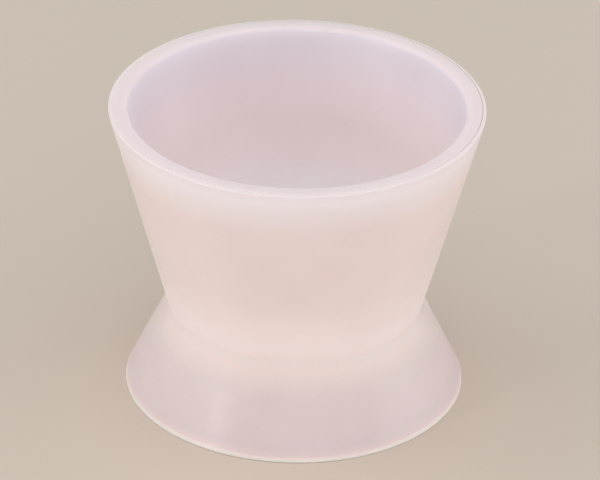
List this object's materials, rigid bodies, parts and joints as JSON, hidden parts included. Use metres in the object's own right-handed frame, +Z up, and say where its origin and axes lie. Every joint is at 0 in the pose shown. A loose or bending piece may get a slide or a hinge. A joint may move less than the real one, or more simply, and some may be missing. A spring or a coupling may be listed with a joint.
{
  "type": "resin mixing cup",
  "caption": "Small mixing cup moulded in one piece from soft translucent silicone: a deep tapered bowl, a sharp waist crease and a flared hollow foot.",
  "frame": {"origin": "centre of the ring that the foot stands on, at table height", "axes": "+Z up along the cup's axis, out of the bowl's mouth; +X and +Y are any two directions across, since the cup is a solid of revolution; the picture looks along +Y and down"},
  "size_m": [0.054, 0.054, 0.0449],
  "materials": {
    "silicone": "satin, translucent milky white"
  },
  "bodies": {
    "root": {"cup": "silicone"}
  },
  "joints": []
}
